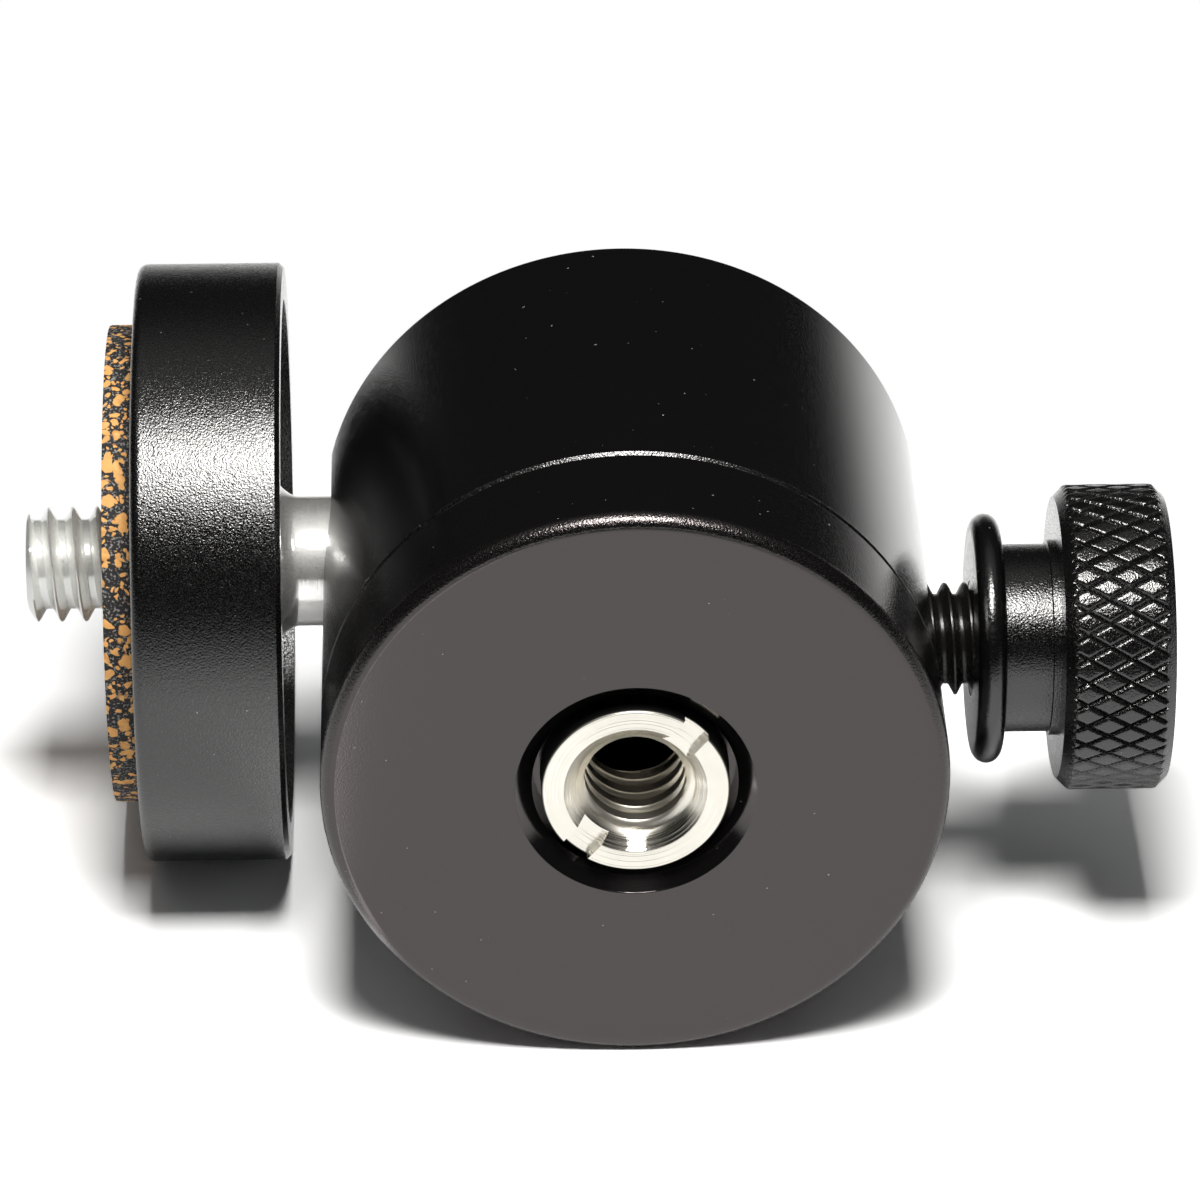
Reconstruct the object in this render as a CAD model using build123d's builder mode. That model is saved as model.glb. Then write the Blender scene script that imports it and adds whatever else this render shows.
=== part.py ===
"""Mini tripod ball head: a slotted barrel that holds a ball, a camera platform on the ball's
stem, and a knurled knob whose brass-nosed stud presses the ball into its seat.

The frame is the upright head: the origin is the centre of the base's mounting face, +Z runs
from the base to the barrel's open end and +X points at the knob. The stem lies in the
barrel's slot, along -X, so that the platform stands on edge. Sizes are in millimetres.
"""

from build123d import *
import math
import os

os.makedirs("parts", exist_ok=True)

# ---- driving dimensions ----------------------------------------------------------------

# barrel and base
barrel_wall = 3.9
base_thickness = 6.3
base_edge_fillet = 0.75
seam_chamfer = 0.35
base_top_chamfer = 0.12
barrel_top_fillet = 0.4
barrel_wall_step = 0.55  # the base's thread is this much wider than the barrel's bore
spigot_height = 3.5
lip_thickness = 1.4
lip_chamfer = 0.6
ball_to_barrel_top = 5.3

# ball and what carries it
ball_radius = 10.5
seat_gap = 0.05
seat_wall = 1.3  # seat ring's thickness at the ball's equator
ring_to_bore = 0.05
cup_to_bore = 0.15
lip_to_ball = 0.24
seat_ring_start = 0.4  # height of the ring's lower edge above the ball's centre
cup_below_slot = 0.25  # the cup's rim stays this far under the barrel's slot
cup_floor = 1.6
cup_drain_radius = 4.5
spring_height = 0.9
spring_sheet = 0.5
spring_inner_radius = 5.4
spring_to_bore = 0.85
shim_thickness = 0.3
shim_inner_radius = 5.0

# stem
stem_radius = 3.42
notch_side_gap = 0.22
stem_shank_radius = 2.45
stem_shank_length = 6.9
ball_flat_margin = 0.1
collar_step = 1.78  # how far the stem flares out under the platform
flare_before_platform = 0.65
stem_spigot_step = 0.9  # how far it steps in again where it enters the platform
stem_spigot_short = 0.3
screw_hole_in_stem = 6.3

# platform, pad and camera screw
platform_radius = 15.72
platform_thickness = 7.6
platform_clearance = 1.05  # between the barrel's sweeping corner and the platform
platform_face_fillet = 0.5
platform_rim_chamfer = 0.25
platform_rim_wall = 1.92
recess_depth = 3.5
recess_fillet = 0.6
pad_setback = 3.17  # from the platform's edge to the pad's
pad_thickness = 1.45
adhesive_thickness = 0.1
pad_hole_gap = 0.35
adhesive_inset = 0.3
camera_thread_radius = 3.1
camera_shank_radius = 2.6
camera_thread_length = 4.48
camera_thread_chamfer = 0.5

# knob and clamping stud
window_floor = 0.7  # what the cup keeps below the nose's window
knob_gap = 1.97  # between the barrel and the knob's flange
flange_radius = 6.45
flange_thickness = 1.48
neck_radius = 4.86
neck_length = 2.45
neck_step_height = 0.19
neck_step_width = 0.4
head_radius = 7.88
head_width = 5.62
head_inner_chamfer = 0.6
head_outer_chamfer = 0.55
head_dish_radius = 4.8
head_dish_depth = 0.5
stud_radius = 2.95
stud_into_bore = 0.15  # distance from the barrel's bore to the stud's inner end
stud_chamfer = 0.4
nose_radius = 2.3
nose_to_ball = 0.2
nose_shank_radius = 1.2
nose_shank_length = 3.0
nose_hole_gap = 0.35
ring_groove_depth = 0.2
ring_groove_width = 0.45
ring_groove_setback = 0.9
snap_ring_radius = 1.42
snap_ring_thickness = 0.35
snap_ring_opening = 0.7

# 3/8" to 1/4" bushing
bushing_radius = 4.72
bushing_length = 6.3
bushing_recess = 0.05
bushing_bore_radius = 2.52
bushing_edge_chamfer = 0.1
bushing_countersink = 1.08
bushing_back_chamfer = 0.3
bushing_slot_width = 1.6
bushing_slot_depth = 0.9
bushing_slot_angle = -49
bushing_hole_web = 1.5
base_counterbore_gap = 0.45
base_counterbore_depth = 2.0
base_mouth_width = 0.9
base_mouth_depth = 0.82

# base locking screw
set_screw_radius = 1.2
set_screw_recess = 0.35
set_screw_socket = 1.3
set_screw_socket_depth = 1.5
set_screw_point = 0.4

# fits
thread_gap = 0.03
running_gap = 0.05

# ---- places worked out from them -------------------------------------------------------

bore_radius = ball_radius + seat_gap + seat_wall
body_radius = bore_radius + barrel_wall
spigot_radius = bore_radius + barrel_wall_step
spigot_top = base_thickness + spigot_height
shim_top = spigot_top + shim_thickness
cup_bottom = shim_top + spring_height
ball_height = cup_bottom + cup_floor + ball_radius
barrel_top = ball_height + ball_to_barrel_top
barrel_length = barrel_top - base_thickness
lip_underside = barrel_top - lip_thickness
lip_radius = math.sqrt(ball_radius**2 - (lip_underside - ball_height) ** 2) + lip_to_ball
notch_half_width = stem_radius + notch_side_gap
cup_top = ball_height - notch_half_width - cup_below_slot
spring_outer_radius = bore_radius - spring_to_bore

collar_radius = stem_radius + collar_step
stem_spigot_radius = collar_radius - stem_spigot_step
ball_flat_distance = math.sqrt(ball_radius**2 - (stem_radius + ball_flat_margin) ** 2)
platform_distance = math.hypot(body_radius, ball_to_barrel_top) + platform_clearance
web_distance = platform_distance + recess_depth
platform_top = platform_distance + platform_thickness
flare_start = platform_distance - flare_before_platform
stem_end = platform_top - stem_spigot_short
screw_hole_bottom = platform_top - screw_hole_in_stem
pad_bottom = platform_top + adhesive_thickness
pad_top = pad_bottom + pad_thickness
recess_radius = platform_radius - platform_rim_wall
pad_radius = platform_radius - pad_setback

nose_window_radius = nose_radius + nose_hole_gap
knob_height = cup_bottom + window_floor + nose_window_radius
knob_drop = ball_height - knob_height
neck_step_radius = neck_radius + neck_step_height
flange_face = body_radius + knob_gap
neck_start = flange_face + flange_thickness
head_start = neck_start + neck_length + neck_step_width
head_end = head_start + head_width
dish_floor = head_end - head_dish_depth
stud_inner_end = bore_radius + stud_into_bore
nose_contact = math.sqrt((ball_radius + nose_radius) ** 2 - knob_drop**2)
nose_centre = nose_contact + nose_to_ball * (ball_radius + nose_radius) / nose_contact
nose_shank_end = stud_inner_end + nose_shank_length
ring_groove_start = nose_shank_end - ring_groove_setback
counterbore_radius = bushing_radius + base_counterbore_gap
set_screw_length = body_radius - set_screw_recess - spigot_radius

# profile planes hold distance along the part's axis in x and radius in y; face planes look
# along that axis
upright_profile = Plane.XZ
stem_profile = Plane(origin=(0, 0, ball_height), x_dir=(-1, 0, 0), z_dir=(0, 1, 0))
stem_face = Plane(origin=(0, 0, ball_height), x_dir=(0, -1, 0), z_dir=(-1, 0, 0))
stem_axis = Axis((0, 0, ball_height), (-1, 0, 0))
knob_profile = Plane(origin=(0, 0, knob_height), x_dir=(1, 0, 0), z_dir=(0, -1, 0))
knob_face = Plane(origin=(0, 0, knob_height), x_dir=(0, 1, 0), z_dir=(1, 0, 0))
knob_axis = Axis((0, 0, knob_height), (1, 0, 0))
set_screw_height = base_thickness + spigot_height / 2
set_screw_face = Plane(origin=(0, spigot_radius, set_screw_height), x_dir=(1, 0, 0), z_dir=(0, 1, 0))


def finish(piece, name):
    """Label a finished piece and write it as its own STEP file."""
    piece.part.label = name
    export_step(piece.part, f"parts/{name}.step")


# ---- barrel ----------------------------------------------------------------------------

with BuildPart() as housing:
    with BuildSketch(Plane.XY.offset(base_thickness)):
        Circle(body_radius)
    extrude(amount=barrel_length)
    chamfer(housing.edges().group_by(Axis.Z)[0], seam_chamfer)
    fillet(housing.edges().group_by(Axis.Z)[-1], barrel_top_fillet)
    # thread for the base's spigot
    with BuildSketch(Plane.XY.offset(base_thickness)):
        Circle(spigot_radius + thread_gap)
    extrude(amount=spigot_height + thread_gap, mode=Mode.SUBTRACT)
    # bore for the cup, the ball and the seat ring
    with BuildSketch(Plane.XY.offset(base_thickness)):
        Circle(bore_radius)
    extrude(amount=lip_underside - base_thickness, mode=Mode.SUBTRACT)
    # mouth, with its edge broken
    with BuildSketch(Plane.XY.offset(lip_underside)):
        Circle(lip_radius)
    extrude(amount=lip_thickness, mode=Mode.SUBTRACT)
    top_circles = housing.edges().filter_by(GeomType.CIRCLE).group_by(Axis.Z)[-1]
    chamfer(top_circles.sort_by(SortBy.RADIUS)[0], lip_chamfer)
    # slot that the stem drops into, round-bottomed at the height of the ball's centre
    with BuildSketch(stem_face):
        Circle(notch_half_width)
        with Locations((0, ball_to_barrel_top / 2)):
            Rectangle(2 * notch_half_width, ball_to_barrel_top)
    extrude(amount=body_radius, mode=Mode.SUBTRACT)
    # tapped hole for the clamping stud
    with BuildSketch(knob_face):
        Circle(stud_radius + running_gap)
    extrude(amount=body_radius, mode=Mode.SUBTRACT)
    # tapped hole for the base's locking screw
    with BuildSketch(set_screw_face):
        Circle(set_screw_radius + thread_gap)
    extrude(amount=body_radius, mode=Mode.SUBTRACT)
finish(housing, "housing")

# ---- base and its bushing --------------------------------------------------------------

with BuildPart() as base_plate:
    with BuildSketch():
        Circle(body_radius)
    extrude(amount=base_thickness)
    fillet(base_plate.edges().group_by(Axis.Z)[0], base_edge_fillet)
    chamfer(base_plate.edges().group_by(Axis.Z)[-1], base_top_chamfer)
    with BuildSketch(Plane.XY.offset(base_thickness)):
        Circle(spigot_radius)
    extrude(amount=spigot_height)
    # chamfered mouth and counterbore round the bushing
    with BuildSketch(upright_profile):
        with BuildLine():
            Polyline(
                (0, 0),
                (counterbore_radius + base_mouth_width, 0),
                (counterbore_radius, base_mouth_depth),
                (counterbore_radius, base_counterbore_depth),
                (0, base_counterbore_depth),
                close=True,
            )
        make_face()
    revolve(axis=Axis.Z, mode=Mode.SUBTRACT)
    # blind 3/8" thread for the bushing
    with BuildSketch():
        Circle(bushing_radius + thread_gap)
    extrude(amount=spigot_top - bushing_hole_web, mode=Mode.SUBTRACT)
finish(base_plate, "base_plate")

with BuildPart() as reducer_bushing:
    with BuildSketch(Plane.XY.offset(bushing_recess)):
        Circle(bushing_radius)
        Circle(bushing_bore_radius, mode=Mode.SUBTRACT)
    extrude(amount=bushing_length)
    mouth = reducer_bushing.edges().group_by(Axis.Z)[0].sort_by(SortBy.RADIUS)
    back = reducer_bushing.edges().group_by(Axis.Z)[-1]
    chamfer(mouth[-1], bushing_edge_chamfer)
    chamfer(mouth[0], bushing_countersink)
    chamfer(back, bushing_back_chamfer)
    # screwdriver slot across the face
    with BuildSketch(Plane.XY.offset(bushing_recess)):
        Rectangle(2 * bushing_radius, bushing_slot_width, rotation=bushing_slot_angle)
    extrude(amount=bushing_slot_depth, mode=Mode.SUBTRACT)
finish(reducer_bushing, "reducer_bushing")

with BuildPart() as base_set_screw:
    with BuildSketch(set_screw_face):
        Circle(set_screw_radius)
    extrude(amount=set_screw_length)
    chamfer(base_set_screw.edges().group_by(Axis.Y)[0], set_screw_point)
    with BuildSketch(set_screw_face.offset(set_screw_length)):
        RegularPolygon(set_screw_socket / 2, 6, major_radius=False)
    extrude(amount=-set_screw_socket_depth, mode=Mode.SUBTRACT)
finish(base_set_screw, "base_set_screw")

# ---- what carries the ball -------------------------------------------------------------

with BuildPart() as shim_washer:
    with BuildSketch(Plane.XY.offset(spigot_top)):
        Circle(bore_radius - cup_to_bore)
        Circle(shim_inner_radius, mode=Mode.SUBTRACT)
    extrude(amount=shim_thickness)
finish(shim_washer, "shim_washer")

with BuildPart() as disc_spring:
    # a flat sheet dished into a cone: its inner edge is up against the cup
    with BuildSketch(upright_profile):
        with BuildLine():
            Polyline(
                (spring_inner_radius, cup_bottom),
                (spring_inner_radius, cup_bottom - spring_sheet),
                (spring_outer_radius, shim_top),
                (spring_outer_radius, shim_top + spring_sheet),
                close=True,
            )
        make_face()
    revolve(axis=Axis.Z)
finish(disc_spring, "disc_spring")

with BuildPart() as lower_cup:
    with BuildSketch(Plane.XY.offset(cup_bottom)):
        Circle(bore_radius - cup_to_bore)
        Circle(cup_drain_radius, mode=Mode.SUBTRACT)
    extrude(amount=cup_top - cup_bottom)
    with Locations((0, 0, ball_height)):
        Sphere(ball_radius + seat_gap, mode=Mode.SUBTRACT)
    # window for the clamping nose
    with BuildSketch(knob_face):
        Circle(nose_window_radius)
    extrude(amount=bore_radius, mode=Mode.SUBTRACT)
finish(lower_cup, "lower_cup")

with BuildPart() as seat_ring:
    with BuildSketch(Plane.XY.offset(ball_height + seat_ring_start)):
        Circle(bore_radius - ring_to_bore)
    extrude(amount=lip_underside - ball_height - seat_ring_start)
    with Locations((0, 0, ball_height)):
        Sphere(ball_radius + seat_gap, mode=Mode.SUBTRACT)
    # gap in line with the barrel's slot
    with BuildSketch(stem_face):
        Rectangle(2 * notch_half_width, 2 * ball_to_barrel_top)
    extrude(amount=body_radius, mode=Mode.SUBTRACT)
finish(seat_ring, "seat_ring")

# ---- ball and stem ---------------------------------------------------------------------

with BuildPart() as ball:
    with Locations((0, 0, ball_height)):
        Sphere(ball_radius)
    # spot face and hole for the stem
    with BuildSketch(stem_face.offset(ball_flat_distance)):
        Circle(ball_radius)
    extrude(amount=ball_radius, mode=Mode.SUBTRACT)
    with BuildSketch(stem_face.offset(ball_flat_distance)):
        Circle(stem_shank_radius + running_gap)
    extrude(amount=-(stem_shank_length + running_gap), mode=Mode.SUBTRACT)
finish(ball, "ball")

with BuildPart() as stem:
    with BuildSketch(stem_profile):
        with BuildLine():
            Polyline(
                (ball_flat_distance - stem_shank_length, 0),
                (ball_flat_distance - stem_shank_length, stem_shank_radius),
                (ball_flat_distance, stem_shank_radius),
                (ball_flat_distance, stem_radius),
                (flare_start, stem_radius),
                (flare_start + collar_radius - stem_radius, collar_radius),
                (web_distance, collar_radius),
                (web_distance, stem_spigot_radius),
                (stem_end, stem_spigot_radius),
                (stem_end, camera_shank_radius + thread_gap),
                (screw_hole_bottom, camera_shank_radius + thread_gap),
                (screw_hole_bottom, 0),
                close=True,
            )
        make_face()
    revolve(axis=stem_axis)
finish(stem, "stem")

# ---- platform, pad and camera screw ----------------------------------------------------

with BuildPart() as platform:
    with BuildSketch(stem_face.offset(platform_distance)):
        Circle(platform_radius)
    extrude(amount=platform_thickness)
    chamfer(platform.edges().group_by(Axis.X)[-1], platform_rim_chamfer)
    fillet(platform.edges().group_by(Axis.X)[0], platform_face_fillet)
    with BuildSketch(stem_face.offset(platform_distance)):
        Circle(recess_radius)
    extrude(amount=recess_depth, mode=Mode.SUBTRACT)
    fillet(platform.edges(Select.LAST).sort_by(Axis.X)[0], recess_fillet)
    with BuildSketch(stem_face.offset(platform_distance)):
        Circle(stem_spigot_radius + thread_gap)
    extrude(amount=platform_thickness, mode=Mode.SUBTRACT)
finish(platform, "platform")

with BuildPart() as pad_adhesive:
    with BuildSketch(stem_face.offset(platform_top)):
        Circle(pad_radius - adhesive_inset)
        Circle(stem_spigot_radius + adhesive_inset, mode=Mode.SUBTRACT)
    extrude(amount=adhesive_thickness)
finish(pad_adhesive, "pad_adhesive")

with BuildPart() as cork_pad:
    with BuildSketch(stem_face.offset(pad_bottom)):
        Circle(pad_radius)
        Circle(camera_thread_radius + pad_hole_gap, mode=Mode.SUBTRACT)
    extrude(amount=pad_thickness)
finish(cork_pad, "cork_pad")

with BuildPart() as camera_screw:
    # the shank is relieved as far as the pad's face, and full size beyond it
    with BuildSketch(stem_face.offset(screw_hole_bottom)):
        Circle(camera_shank_radius)
    extrude(amount=pad_top - screw_hole_bottom)
    with BuildSketch(stem_face.offset(pad_top)):
        Circle(camera_thread_radius)
    extrude(amount=camera_thread_length)
    chamfer(camera_screw.edges().group_by(Axis.X)[0], camera_thread_chamfer)
finish(camera_screw, "camera_screw")

# ---- knob, stud and clamping nose ------------------------------------------------------

with BuildPart() as knob:
    rim_radius = flange_thickness / 2
    with BuildSketch(knob_profile):
        with BuildLine():
            Polyline(
                (flange_face + rim_radius, flange_radius),
                (flange_face + rim_radius, 0),
                (head_end, 0),
                (head_end, head_radius),
                (head_start, head_radius),
                (head_start, neck_step_radius),
                (head_start - neck_step_width, neck_step_radius),
                (head_start - neck_step_width, neck_radius),
                (neck_start, neck_radius),
                (neck_start, flange_radius - rim_radius),
            )
            RadiusArc(
                (neck_start, flange_radius - rim_radius),
                (flange_face + rim_radius, flange_radius),
                -rim_radius,
            )
        make_face()
        with BuildLine():
            Polyline(
                (flange_face + rim_radius, flange_radius),
                (flange_face + rim_radius, 0),
                (flange_face, 0),
                (flange_face, flange_radius - rim_radius),
            )
            RadiusArc(
                (flange_face, flange_radius - rim_radius),
                (flange_face + rim_radius, flange_radius),
                rim_radius,
            )
        make_face()
    revolve(axis=knob_axis)
    head_edges = knob.edges().filter_by(GeomType.CIRCLE).group_by(SortBy.RADIUS)[-1].sort_by(Axis.X)
    chamfer(head_edges[0], head_inner_chamfer)
    chamfer(head_edges[-1], head_outer_chamfer)
    with BuildSketch(knob_face.offset(dish_floor)):
        Circle(head_dish_radius)
    extrude(amount=head_dish_depth, mode=Mode.SUBTRACT)
    with BuildSketch(knob_face.offset(flange_face)):
        Circle(stud_radius + thread_gap)
    extrude(amount=head_end - flange_face, mode=Mode.SUBTRACT)
finish(knob, "knob")

with BuildPart() as knob_stud:
    with BuildSketch(knob_face.offset(stud_inner_end)):
        Circle(stud_radius)
    extrude(amount=dish_floor - stud_inner_end)
    chamfer(knob_stud.edges().group_by(Axis.X)[0], stud_chamfer)
    chamfer(knob_stud.edges().group_by(Axis.X)[-1], stud_chamfer)
    # socket for the brass nose, grooved for its snap ring
    with BuildSketch(knob_face.offset(stud_inner_end)):
        Circle(nose_shank_radius + running_gap)
    extrude(amount=nose_shank_length + 2 * running_gap, mode=Mode.SUBTRACT)
    with BuildSketch(knob_face.offset(ring_groove_start)):
        Circle(snap_ring_radius + running_gap)
    extrude(amount=ring_groove_width, mode=Mode.SUBTRACT)
finish(knob_stud, "knob_stud")

with BuildPart() as pressure_pad:
    nose_back = stud_inner_end - running_gap
    with BuildSketch(knob_profile):
        with BuildLine():
            Polyline(
                (nose_centre, nose_radius),
                (nose_back, nose_radius),
                (nose_back, nose_shank_radius),
                (ring_groove_start, nose_shank_radius),
                (ring_groove_start, nose_shank_radius - ring_groove_depth),
                (ring_groove_start + ring_groove_width, nose_shank_radius - ring_groove_depth),
                (ring_groove_start + ring_groove_width, nose_shank_radius),
                (nose_shank_end, nose_shank_radius),
                (nose_shank_end, 0),
                (nose_centre - nose_radius, 0),
            )
            RadiusArc((nose_centre - nose_radius, 0), (nose_centre, nose_radius), nose_radius)
        make_face()
    revolve(axis=knob_axis)
finish(pressure_pad, "pressure_pad")

with BuildPart() as pad_snap_ring:
    with BuildSketch(knob_face.offset(ring_groove_start + running_gap)):
        Circle(snap_ring_radius)
        Circle(nose_shank_radius - ring_groove_depth + running_gap, mode=Mode.SUBTRACT)
        with Locations((0, snap_ring_radius)):
            Rectangle(snap_ring_opening, 2 * snap_ring_radius, mode=Mode.SUBTRACT)
    extrude(amount=snap_ring_thickness)
finish(pad_snap_ring, "pad_snap_ring")
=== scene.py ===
import math

import bmesh
import bpy
import numpy as np
from mathutils import Matrix, Vector, noise


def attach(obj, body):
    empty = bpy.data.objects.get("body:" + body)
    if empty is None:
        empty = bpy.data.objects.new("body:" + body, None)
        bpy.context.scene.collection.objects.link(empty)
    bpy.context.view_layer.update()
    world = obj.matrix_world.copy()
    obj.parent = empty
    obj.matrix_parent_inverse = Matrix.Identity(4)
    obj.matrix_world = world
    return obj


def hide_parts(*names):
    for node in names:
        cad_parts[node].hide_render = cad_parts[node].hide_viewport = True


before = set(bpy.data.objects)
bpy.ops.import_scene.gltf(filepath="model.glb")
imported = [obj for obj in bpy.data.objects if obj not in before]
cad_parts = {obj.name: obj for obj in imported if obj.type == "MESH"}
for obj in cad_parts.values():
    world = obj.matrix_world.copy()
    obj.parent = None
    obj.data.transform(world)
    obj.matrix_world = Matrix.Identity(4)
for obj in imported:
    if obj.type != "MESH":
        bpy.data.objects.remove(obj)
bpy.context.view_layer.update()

# ---- base plate ----
# A disc turned from aluminium bar, bead-blasted and black anodised. A spigot on its back
# screws into the barrel, and its counterbored middle holds the tripod thread.

MM = 0.001
UPRIGHT = (Vector((0, 0, 0)), Vector((0, 0, 1)), Vector((1, 0, 0)), Vector((0, 1, 0)))
SMOOTH_STEPS = 384
CREASE = 32


def rounded(corners, support=0.03):
    """A closed profile of (along, radius) points from corners that may end in a rounding."""
    points = []
    for i, corner in enumerate(corners):
        tip = np.array(corner[:2], float)
        if len(corner) == 2:
            points.append(tip)
            continue
        to_last = np.array(corners[i - 1][:2], float) - tip
        to_next = np.array(corners[(i + 1) % len(corners)][:2], float) - tip
        to_last /= np.linalg.norm(to_last)
        to_next /= np.linalg.norm(to_next)
        half = math.acos(float(to_last @ to_next)) / 2
        middle = to_last + to_next
        centre = tip + middle / np.linalg.norm(middle) * corner[2] / math.sin(half)
        reach = corner[2] / math.tan(half)
        sweep = math.pi - 2 * half
        steps = max(2, round(sweep / math.radians(11)))
        first = (tip + to_last * reach - centre) / corner[2]
        last = (tip + to_next * reach - centre) / corner[2]
        points.append(tip + to_last * (reach + support))
        for k in range(steps + 1):
            a, b = math.sin(sweep * (1 - k / steps)), math.sin(sweep * k / steps)
            points.append(centre + corner[2] * (a * first + b * last) / math.sin(sweep))
        points.append(tip + to_next * (reach + support))
    return np.array(points)


def skin(name, along, radius, place, after=None, lean=None, sharp=CREASE):
    """A closed mesh through rings of points: along and radius hold rings by steps round the axis.

    after gives the ring that each ring runs on into after one turn, as on a thread, and lean
    says which way each square face is halved.
    """
    rings, steps = radius.shape
    origin, forward, right, up = (np.array(v) for v in place)
    turn = 2 * np.pi * np.arange(steps) / steps
    spoke = np.cos(turn)[:, None] * right + np.sin(turn)[:, None] * up
    points = origin + MM * (along[..., None] * forward + radius[..., None] * spoke)
    after = np.arange(rings) if after is None else after
    ring, step = np.meshgrid(np.arange(rings - 1), np.arange(steps), indexing="ij")
    last = step == steps - 1
    a = ring * steps + step
    d = (ring + 1) * steps + step
    b = np.where(last, after[ring] * steps, a + 1)
    c = np.where(last, after[ring + 1] * steps, d + 1)
    faces = []
    for one in zip(a.ravel(), b.ravel(), c.ravel(), d.ravel(), ring.ravel(), step.ravel()):
        a1, b1, c1, d1, at_ring, at_step = (int(n) for n in one)
        way = lean[at_ring, at_step] if lean is not None else 0
        if way > 0:
            faces += [(a1, b1, c1), (a1, c1, d1)]
        elif way < 0:
            faces += [(a1, b1, d1), (b1, c1, d1)]
        else:
            faces.append((a1, b1, c1, d1))
    mesh = bpy.data.meshes.new(name)
    mesh.from_pydata(points.reshape(-1, 3).tolist(), [], faces)
    return tidied(name, mesh, sharp)


def tidied(name, mesh, sharp):
    """An object of the mesh, with doubled points joined and its smooth and sharp edges set."""
    work = bmesh.new()
    work.from_mesh(mesh)
    bmesh.ops.remove_doubles(work, verts=work.verts, dist=2e-7)
    bmesh.ops.dissolve_degenerate(work, edges=work.edges, dist=1e-8)
    bmesh.ops.recalc_face_normals(work, faces=work.faces)
    work.to_mesh(mesh)
    work.free()
    mesh.shade_smooth()
    mesh.set_sharp_from_angle(angle=math.radians(sharp))
    piece = bpy.data.objects.new(name, mesh)
    bpy.context.scene.collection.objects.link(piece)
    return piece


def turned(name, corners, place, steps=SMOOTH_STEPS):
    """A piece turned about an axis from a profile given by its corners, in millimetres."""
    profile = rounded(corners)
    if profile[0, 1] > 0:
        profile = np.vstack([profile, profile[:1]])
    along, radius = (np.repeat(profile[:, [i]], steps, axis=1) for i in (0, 1))
    return skin(name, along, radius, place)


class Wire:
    """One output in a material's nodes. A sum written on wires adds its Math nodes."""

    def __init__(self, tree, socket=None):
        self.tree = tree
        self.socket = socket

    def node(self, kind, settings=None, values=None, out=0):
        """Add a node: its settings first, then its sockets' values or wires."""
        made = self.tree.nodes.new("ShaderNode" + kind)
        for key, value in (settings or {}).items():
            setattr(made, key, value)
        for key, value in (values or {}).items():
            if isinstance(value, Wire):
                self.tree.links.new(value.socket, made.inputs[key])
            else:
                made.inputs[key].default_value = value
        return Wire(self.tree, made.outputs[out])

    def maths(self, operation, *values):
        return self.node("Math", {"operation": operation}, dict(enumerate(values)))

    def __add__(self, other):
        return self.maths("ADD", self, other)

    def __sub__(self, other):
        return self.maths("SUBTRACT", self, other)

    def __rsub__(self, other):
        return self.maths("SUBTRACT", other, self)

    def __mul__(self, other):
        return self.maths("MULTIPLY", self, other)

    __radd__ = __add__
    __rmul__ = __mul__

    def step(self, low, high):
        """0 below low, 1 above high and smooth between them."""
        bounds = {"Value": self, "From Min": low, "From Max": high}
        return self.node("MapRange", {"interpolation_type": "SMOOTHSTEP"}, bounds)

    def blend(self, first, second):
        """The first colour where this wire is 0 and the second where it is 1."""
        return self.node("Mix", {"data_type": "RGBA"}, {0: self, 6: first, 7: second}, 2)

    def noise(self, scale, detail=2.0, out=0):
        """Soft random patches, with scale of them to the metre."""
        return self.node("TexNoise", {}, {"Vector": self, "Scale": scale, "Detail": detail}, out)

    def bump(self, depth):
        """The surface raised by this height from 0 to 1, times a depth in millimetres."""
        return self.node("Bump", {}, {"Strength": 1.0, "Distance": depth * MM, "Height": self})

    def larger(self, other):
        """The larger of two wires, so that two masks cover what either covers."""
        return self.maths("MAXIMUM", self, other)

    def part(self, axis):
        """One part of a place: 0 for X, 1 for Y and 2 for Z."""
        return self.node("SeparateXYZ", {}, {0: self}, axis)

    def off_axis(self, centre, mask):
        """The distance from an axis through centre. mask is 0 along the axis and 1 across it."""
        shifted = self.node("VectorMath", {"operation": "SUBTRACT"}, {0: self, 1: centre})
        flat = self.node("VectorMath", {"operation": "MULTIPLY"}, {0: shifted, 1: mask})
        return self.node("VectorMath", {"operation": "LENGTH"}, {0: flat}, 1)


def finish(name, look):
    """A material whose Principled shader takes the values and wires that look gives."""
    material = bpy.data.materials.new(name)
    material.use_nodes = True
    tree = material.node_tree
    shader = tree.nodes["Principled BSDF"]
    place = Wire(tree).node("TexCoord", out="Object")
    for socket, value in look(place).items():
        if isinstance(value, Wire):
            tree.links.new(value.socket, shader.inputs[socket])
        else:
            shader.inputs[socket].default_value = value
    return material


def coat(piece, material):
    """Give a piece one material all over."""
    piece.data.materials.clear()
    piece.data.materials.append(material)


def fit(piece, body, material, node):
    """Give a piece its material, the body that it rides on and the node it replaces."""
    coat(piece, material)
    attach(piece, body)
    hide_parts(node)


GRAIN_DEPTH = 0.026
GRAIN_SCALE = 9500
MATT_SCALE = 16000
DUST_SCALE = 5200
DYED_BLACK = (0.0032, 0.003, 0.0031, 1)
DUST_GREY = (0.3, 0.3, 0.29, 1)


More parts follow.
